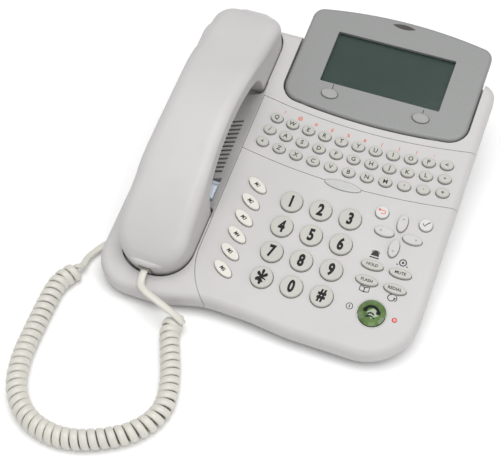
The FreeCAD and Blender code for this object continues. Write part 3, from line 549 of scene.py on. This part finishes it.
# Side view in (v, w), in millimetres: matching points of the arched back and of the under side.
back_line = [
    (-53.3, 12.4), (-51.0, 15.8), (-47.5, 18.6), (-42.0, 21.6), (-32.0, 25.8), (-22.0, 29.2),
    (-14.0, 31.6), (-9.0, 32.9), (-3.0, 34.4), (6.0, 36.3), (18.0, 38.3), (31.0, 39.7), (44.0, 40.0),
    (57.0, 39.3), (70.0, 37.6), (82.0, 35.2), (91.0, 32.9), (96.0, 31.6), (101.0, 30.2), (109.0, 28.0),
    (118.0, 25.4), (127.0, 22.4), (134.0, 19.2), (137.6, 16.4), (139.6, 12.6)]
under_line = [
    (-51.3, -8.6), (-49.0, -8.6), (-45.5, -8.6), (-38.0, -8.6), (-24.0, -8.6), (-14.0, -8.6),
    (-6.0, -8.4), (-3.9, 0.0), (-2.6, 11.0), (4.0, 18.6), (18.0, 21.8), (31.0, 23.4), (44.0, 23.7),
    (57.0, 23.2), (70.0, 21.9), (83.5, 19.2), (89.9, 12.5), (91.7, 2.0), (92.6, -8.4), (102.0, -8.6),
    (113.0, -8.6), (124.0, -8.6), (131.0, -8.6), (136.0, -8.6), (138.5, -8.6)]


def soft_curve(points, count):
    """A quadratic B-spline guided by its points, which starts and ends on the first and last of them."""
    points = np.asarray(points, float)
    closed = np.vstack([points[:1], points, points[-1:]])
    spans = len(closed) - 2
    where = np.linspace(0, spans - 1e-9, count)
    span = where.astype(int)
    t = (where - span)[:, None]
    a, b, c = closed[span], closed[span + 1], closed[span + 2]
    return 0.5 * ((1 - t) ** 2 * a + (1 + 2 * t * (1 - t)) * b + t ** 2 * c)


def rounded_section(half_width, half_height, top, bottom, flat=6, round_points=10):
    """Rings round many sections at once: a box with elliptic corners. Each corner is centre + (a cos, b sin).
    top and bottom are (across, upright) pairs of corner radii, one value for each section."""
    angle = np.linspace(0, math.pi / 2, round_points)
    corners = []
    quarters = ((1, -1, bottom, -1), (1, 1, top, 1), (-1, 1, top, -1), (-1, -1, bottom, 1))
    for sign_u, sign_w, radii, order in quarters:
        turn = angle[::order]
        reach_u, reach_w = radii[0][:, None], radii[1][:, None]
        u = sign_u * (half_width[:, None] - reach_u + reach_u * np.cos(turn))
        w = sign_w * (half_height[:, None] - reach_w + reach_w * np.sin(turn))
        corners.append(np.stack([u, w], axis=-1))
    rings = []
    for corner, following in zip(corners, corners[1:] + corners[:1]):
        step = np.linspace(0, 1, flat + 2)[1:-1][None, :, None]
        rings.append(corner)
        rings.append(corner[:, -1:] * (1 - step) + following[:, :1] * step)
    return np.concatenate(rings, axis=1)


def handset_surface():
    """The handset's skin. Each section spans from the under line to the back line. Its half width follows
    the waisted plan, which closes round each end in an arc. The end rings also roll in, top and bottom."""
    count = 240
    top = soft_curve(back_line, count)
    low = soft_curve(under_line, count)
    steps = np.linspace(0, math.pi / 2, 13)
    inset = END_ROLL * (1 - np.cos(steps))
    reach = END_ROLL * np.sin(steps)
    middle = (top + low) / 2
    upright = (top - low) / 2
    height = np.linalg.norm(upright, axis=1)
    upright /= height[:, None]
    v = middle[:, 0]
    corner = np.where(v < MIDDLE_V, MOUTH_ROUND, EAR_ROUND)
    from_end = np.minimum(v - v[0], v[-1] - v)
    from_end = np.clip(from_end + END_ROLL, 0, corner)
    depth = END_ROLL - reach
    waist = CUP_HALF - WAIST * np.sin(np.clip((v + 20) / 130, 0, 1) * math.pi) ** 2
    half = waist - corner + np.sqrt(np.maximum(corner ** 2 - (corner - from_end) ** 2, 0.0))
    sections = [(middle, upright, height, half, np.zeros(count))]
    for end, sign in ((0, -1), (-1, 1)):
        ones = np.ones(len(steps))
        centre = middle[end] + np.stack([sign * reach, 0 * reach], axis=1)
        round_end = CUP_HALF - corner[end] + np.sqrt(corner[end] ** 2 - (corner[end] - depth) ** 2)
        facing = np.tile(upright[end], (len(steps), 1))
        block = (centre, facing, height[end] * ones, round_end, inset)
        if sign < 0:
            block = tuple(part[::-1] for part in block)
            sections.insert(0, block)
        else:
            sections.append(block)
    middle, upright, height, half, inset = (np.concatenate(parts) for parts in zip(*sections))
    shoulder = np.clip(np.minimum(0.5 * half, 8.0), 2.0, None), np.minimum(0.5 * height, 7.0)
    grip = np.exp(-((middle[:, 0] - MIDDLE_V) / 40) ** 4)
    edge = 2.5 + 4.5 * grip, 2.0 + 3.0 * grip
    top_radii = tuple(np.maximum(part - inset, 0.05) for part in shoulder)
    low_radii = tuple(np.maximum(part - inset, 0.05) for part in edge)
    rings = rounded_section(half, height - inset, top_radii, low_radii)
    u = HANDSET_U + rings[..., 0]
    v = middle[:, None, 0] + upright[:, None, 0] * rings[..., 1]
    w = middle[:, None, 1] + upright[:, None, 1] * rings[..., 1]
    points = np.stack([u, v, w], axis=-1)
    rows, columns = points.shape[:2]
    faces = grid_faces(rows, columns, True)
    last = (rows - 1) * columns
    faces += [tuple(range(columns - 1, -1, -1)), tuple(range(last, last + columns))]
    return deck(points.reshape(-1, 3)), faces


handset_finish = moulded("handset_plastic", (0.50, 0.485, 0.485), 0.42, grain=0.0006, depth=0.000012)
points, faces = handset_surface()
handset = make_piece("handset_shells", points, faces, handset_finish, None)


def deck_block(low, high):
    """A box between two deck corners, for cutting."""
    (u0, v0, w0), (u1, v1, w1) = low, high
    corners = [(u, v, w) for w in (w0, w1) for u, v in ((u0, v0), (u1, v0), (u1, v1), (u0, v1))]
    sides = [(3, 2, 1, 0), (4, 5, 6, 7), (0, 1, 5, 4), (1, 2, 6, 5), (2, 3, 7, 6), (3, 0, 4, 7)]
    return deck(corners), sides


def deck_drill(u, v, radius, w0, w1):
    """An upright 20-sided drill between two heights, for cutting."""
    around = arc(radius, 0, 342, 20, (u, v))
    points = np.vstack([np.column_stack([around, np.full(20, w)]) for w in (w0, w1)])
    sides = [tuple(range(19, -1, -1)), tuple(range(20, 40))]
    sides += [(k, (k + 1) % 20, 20 + (k + 1) % 20, 20 + k) for k in range(20)]
    return deck(points), sides


def cut_away(piece, shapes):
    """Cuts each shape out of the piece, one after another, and keeps the result as its mesh."""
    for points, faces in shapes:
        mesh = bpy.data.meshes.new("cutter")
        mesh.from_pydata(points.tolist(), [], faces)
        cutter = bpy.data.objects.new("cutter", mesh)
        bpy.context.collection.objects.link(cutter)
        modifier = piece.modifiers.new("cut", "BOOLEAN")
        modifier.operation = "DIFFERENCE"
        modifier.solver = "EXACT"
        modifier.object = cutter
        bpy.context.view_layer.update()
        depsgraph = bpy.context.evaluated_depsgraph_get()
        result = bpy.data.meshes.new_from_object(piece.evaluated_get(depsgraph))
        piece.modifiers.clear()
        piece.data = result
        bpy.data.objects.remove(cutter)
    piece.data.set_sharp_from_angle(angle=math.radians(50))


EARPIECE_V = 116.5
MICROPHONE_V = -34.0
DRILL_W = (-9.6, -6.4)
ear_holes = [deck_drill(HANDSET_U + 6 * math.cos(turn), EARPIECE_V + 6 * math.sin(turn), 1.1, *DRILL_W)
             for turn in np.radians(np.arange(0, 360, 60))]
mouth_holes = [deck_drill(HANDSET_U + offset, MICROPHONE_V, 0.9, *DRILL_W) for offset in (-4, 0, 4)]
notch = deck_block((HANDSET_U - 4.2, -63.0, 0.9), (HANDSET_U + 4.2, -52.0, 8.5))
jack_room = deck_block((HANDSET_U - 5.8, -52.65, 0.0), (HANDSET_U + 5.8, -42.8, 9.4))
cut_away(handset, [jack_room, notch] + ear_holes + mouth_holes)
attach(handset, "handset")
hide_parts("handset_outer_shell", "handset_inner_shell")

# ---------------------------------------------------------------- handset cord
# A flat four-wire vinyl cord, wound into a long springy coil, runs from a smoky plug in the handset to
# another in the case's side. Both short tails are left unwound.
CORD_WIDTH = 0.0047
CORD_THICK = 0.0025
COIL_RADIUS = 0.00505
COIL_PITCH = 0.0048
route_corner = np.array([deck_origin[0], deck_origin[1] - 0.0005, 0.0])
cord_route = [
    (-0.1084, -0.0239, 0.0094), (-0.1175, -0.0246, 0.0084), (-0.1260, -0.0294, 0.0052),
    (-0.1322, -0.0380, 0.0034), (-0.1354, -0.0476, 0.0044), (-0.1340, -0.0560, 0.0063),
    (-0.1375, -0.0630, 0.0063), (-0.1430, -0.0720, 0.0063), (-0.1425, -0.0880, 0.0063),
    (-0.1405, -0.1090, 0.0063), (-0.1380, -0.1320, 0.0063), (-0.1300, -0.1530, 0.0063),
    (-0.1130, -0.1675, 0.0063), (-0.0900, -0.1710, 0.0063), (-0.0680, -0.1625, 0.0063),
    (-0.0510, -0.1500, 0.0063), (-0.0426, -0.1320, 0.0063), (-0.0475, -0.1120, 0.0063),
    (-0.0565, -0.0930, 0.0063), (-0.0635, -0.0790, 0.0063), (-0.0600, -0.0725, 0.0080),
    (-0.0545, -0.0760, 0.0120), (-0.0620, -0.0745, 0.0165), (-0.0750, -0.0712, 0.0202),
    (-0.0843, -0.0684, 0.0216), (-0.0893, -0.0636, 0.02153), (-0.0893, -0.0555, 0.02358)]


def spline_points(route):
    """Close points along the smooth curve that the route guides."""
    curve = bpy.data.curves.new("cord_line", "CURVE")
    curve.dimensions = "3D"
    curve.resolution_u = 24
    spline = curve.splines.new("NURBS")
    spline.points.add(len(route) - 1)
    flat = np.hstack([route, np.ones((len(route), 1))]).ravel()
    spline.points.foreach_set("co", flat)
    spline.order_u = 3
    spline.use_endpoint_u = True
    holder = bpy.data.objects.new("cord_line", curve)
    bpy.context.collection.objects.link(holder)
    bpy.context.view_layer.update()
    mesh = bpy.data.meshes.new_from_object(holder.evaluated_get(bpy.context.evaluated_depsgraph_get()))
    places = np.empty(len(mesh.vertices) * 3)
    mesh.vertices.foreach_get("co", places)
    bpy.data.objects.remove(holder)
    bpy.data.curves.remove(curve)
    bpy.data.meshes.remove(mesh)
    return places.reshape(-1, 3)


line = spline_points(np.array(cord_route) + route_corner)
run = np.concatenate([[0.0], np.cumsum(np.linalg.norm(np.diff(line, axis=0), axis=1))])
COIL_START = 0.047
COIL_STOP = run[-1] - 0.046
EASE = 0.009
samples = int((COIL_STOP - COIL_START) / COIL_PITCH * 18) + 160
s = np.linspace(0, run[-1], samples)
axis = np.stack([np.interp(s, run, line[:, k]) for k in range(3)], axis=1)
smoothing = np.hanning(9) / np.hanning(9).sum()
ahead = np.gradient(axis, axis=0)
ahead = np.pad(ahead, ((4, 4), (0, 0)), mode="edge")
ahead = np.stack([np.convolve(ahead[:, k], smoothing, mode="valid") for k in range(3)], axis=1)
ahead /= np.linalg.norm(ahead, axis=1, keepdims=True)
level = np.cross([0.0, 0.0, 1.0], ahead)
level /= np.linalg.norm(level, axis=1, keepdims=True)
above = np.cross(ahead, level)


def ease(value, low, high):
    """0 below low, 1 above high, smooth between."""
    t = np.clip((value - low) / (high - low), 0, 1)
    return t * t * (3 - 2 * t)


wound = ease(s, COIL_START, COIL_START + EASE) * (1 - ease(s, COIL_STOP - EASE, COIL_STOP))
turns_per_metre = wound / COIL_PITCH * (0.94 + 0.06 * np.sin(s * 61.0) * np.sin(s * 23.0))
wind = np.concatenate([[0.0], np.cumsum((turns_per_metre[1:] + turns_per_metre[:-1]) / 2 * np.diff(s))])
phase = 2 * math.pi * (0.25 + wind * round(wind[-1]) / wind[-1])
outward = np.cos(phase)[:, None] * level + np.sin(phase)[:, None] * above
centres = axis + COIL_RADIUS * wound[:, None] * outward
forward = np.gradient(centres, axis=0)
forward /= np.linalg.norm(forward, axis=1, keepdims=True)
thick_way = outward - (outward * forward).sum(axis=1, keepdims=True) * forward
thick_way /= np.linalg.norm(thick_way, axis=1, keepdims=True)
wide_way = np.cross(forward, thick_way)
SIDES = 12
turn = np.linspace(0, 2 * math.pi, SIDES, endpoint=False)
profile = np.stack([np.sign(np.cos(turn)) * np.abs(np.cos(turn)) ** 0.75 * CORD_THICK / 2,
                    np.sign(np.sin(turn)) * np.abs(np.sin(turn)) ** 0.75 * CORD_WIDTH / 2], axis=1)
skin = centres[:, None] + profile[None, :, :1] * thick_way[:, None] + profile[None, :, 1:] * wide_way[:, None]
faces = grid_faces(len(s), SIDES, True)
last = (len(s) - 1) * SIDES
faces += [tuple(range(SIDES - 1, -1, -1)), tuple(range(last, last + SIDES))]
vinyl = moulded("cord_vinyl", (0.60, 0.588, 0.53), 0.38, grain=0.0015, depth=0.00003)
cord = make_piece("handset_cord", skin.reshape(-1, 3), faces, vinyl, None)
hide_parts("cord_coil", "cord_handset_tail", "cord_base_tail")
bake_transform(cord)
plug_plastic = Finish("plug_plastic", (0.20, 0.20, 0.185), 0.16, coat_weight=0.6)
plug_plastic.set(roughness=0.12 + 0.1 * plug_plastic.noise(0.002))
paint(plug_plastic, "base_plug", "handset_plug")

# ---------------------------------------------------------------- floor, light and camera
# The telephone stands on a pale sheet under broad soft lamps, seen from the front right and above.
floor = bpy.data.meshes.new("floor")
floor.from_pydata([(-6, -6, 0), (6, -6, 0), (6, 6, 0), (-6, 6, 0)], [], [(0, 1, 2, 3)])
floor_finish = Finish("floor_paper", (0.93, 0.93, 0.93), 0.8)
floor_finish.set(roughness=0.75 + 0.1 * floor_finish.noise(0.05))
floor.materials.append(floor_finish.material)
floor_piece = bpy.data.objects.new("floor", floor)
bpy.context.collection.objects.link(floor_piece)


def lamp(name, place, aim, size, power):
    """A square soft lamp that faces aim."""
    data = bpy.data.lights.new(name, "AREA")
    data.size = size
    data.energy = power
    piece = bpy.data.objects.new(name, data)
    bpy.context.collection.objects.link(piece)
    piece.location = place
    piece.rotation_euler = (Vector(place) - Vector(aim)).to_track_quat("Z", "Y").to_euler()


lamp("lamp_over", (0.1, -0.1, 1.6), (0, 0, 0.05), 1.2, 19)
lamp("lamp_left", (-1.3, -0.5, 0.9), (0, 0, 0.05), 0.9, 2)
lamp("lamp_right", (1.3, -0.4, 0.8), (0, 0, 0.05), 0.9, 4)
lamp("lamp_front", (0.4, -1.5, 0.9), (0, 0, 0.05), 0.9, 2)
world = bpy.data.worlds.new("studio")
world.use_nodes = True
world.node_tree.nodes["Background"].inputs["Color"].default_value = (1, 1, 1, 1)
world.node_tree.nodes["Background"].inputs["Strength"].default_value = 0.48
bpy.context.scene.world = world
bpy.context.scene.view_settings.view_transform = "Standard"

azimuth = math.radians(21.381)
elevation = math.radians(51.589)
DISTANCE = 0.680711
SENSOR = 36.0
LENS = 78.665616
AIM_RIGHT = 0.0380392156
AIM_UP = 0.0035064238
back = Vector((math.sin(azimuth) * math.cos(elevation), -math.cos(azimuth) * math.cos(elevation),
               math.sin(elevation)))
right = Vector((math.cos(azimuth), math.sin(azimuth), 0))
up = back.cross(right)
target = Vector(deck((0, 0, 2.0))[0])
camera_data = bpy.data.cameras.new("camera")
camera_data.sensor_width = SENSOR
camera_data.lens = LENS
camera_data.clip_start = 0.01
camera = bpy.data.objects.new("camera", camera_data)
bpy.context.collection.objects.link(camera)
camera.matrix_world = Matrix((
    (right.x, up.x, back.x, 0), (right.y, up.y, back.y, 0), (right.z, up.z, back.z, 0), (0, 0, 0, 1)))
camera.location = target + back * DISTANCE - right * AIM_RIGHT + up * AIM_UP
bpy.context.scene.camera = camera
